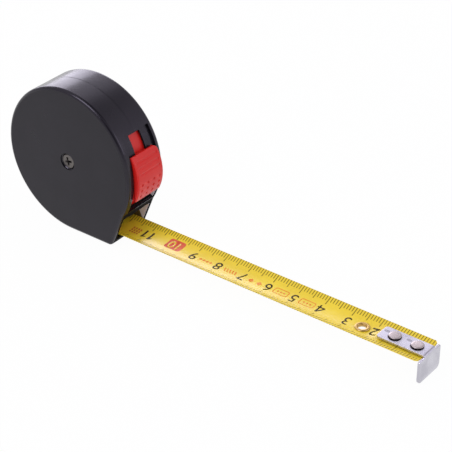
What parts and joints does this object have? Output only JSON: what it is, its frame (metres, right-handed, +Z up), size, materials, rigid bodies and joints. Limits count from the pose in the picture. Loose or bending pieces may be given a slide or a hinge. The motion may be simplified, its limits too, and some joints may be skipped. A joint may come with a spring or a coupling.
{
  "type": "tape measure",
  "caption": "Pocket tape measure with a hollow steel blade, sliding end hook, thumb lock and spring reel in a round two-shell case.",
  "frame": {"origin": "middle of the case's flat base, half way between the side faces", "axes": "+X along the drawn-out blade towards the end hook, +Y from the front shell with the screw to the rear shell, +Z up"},
  "size_m": [0.1623, 0.0176, 0.0569],
  "materials": {
    "case_plastic": "black moulded plastic, fine matte faces and a satin rim",
    "lock_plastic": "red moulded plastic, satin",
    "blade_paint": "yellow enamelled spring steel with printed scale",
    "hook_steel": "bright zinc-plated pressed sheet",
    "rivet_steel": "dull nickel-plated rivet",
    "brass": "plain brass",
    "screw_steel": "dull steel, slightly worn",
    "spring_steel": "blue-grey rolled spring strip",
    "reel_plastic": "grey moulded plastic",
    "liner_film": "thin slippery film",
    "shoe_rubber": "black rubber"
  },
  "bodies": {
    "case": {"front_shell": "case_plastic", "rear_shell": "case_plastic", "case_screw": "screw_steel", "spring_post": "reel_plastic", "liner_front": "liner_film", "liner_rear": "liner_film", "mainspring": "spring_steel", "blade_stretch": "blade_paint"},
    "reel": {"reel_drum": "reel_plastic", "spring_cover": "reel_plastic", "anchor_rivet": "brass", "blade_coil": "blade_paint"},
    "blade": {"blade_tip": "blade_paint", "eyelet": "brass", "eyelet_washer": "brass", "hook_rivet_1": "rivet_steel", "hook_rivet_2": "rivet_steel"},
    "hook": {"end_hook": "hook_steel"},
    "lock": {"lock_button": "lock_plastic", "brake_shoe": "shoe_rubber"}
  },
  "joints": [
    {"name": "blade_pull", "type": "slide", "parent": "case", "child": "blade", "axis": [1, 0, 0], "range_m": [-0.1152, 0], "deforming": ["blade_stretch"]},
    {"name": "reel_spin", "type": "hinge", "parent": "case", "child": "reel", "pos_m": [-0.00797, 0, 0.0264], "axis": [0, 1, 0], "range_deg": [0, 360]},
    {"name": "hook_float", "type": "slide", "parent": "blade", "child": "hook", "axis": [1, 0, 0], "range_m": [0, 0.0008]},
    {"name": "lock_slide", "type": "hinge", "parent": "case", "child": "lock", "pos_m": [-0.00797, 0, 0.0264], "axis": [0, -1, 0], "range_deg": [0, 14.5]}
  ],
  "couplings": [
    {"joint": "reel_spin", "follows": "blade_pull", "rad_per_m": -54.348}
  ]
}
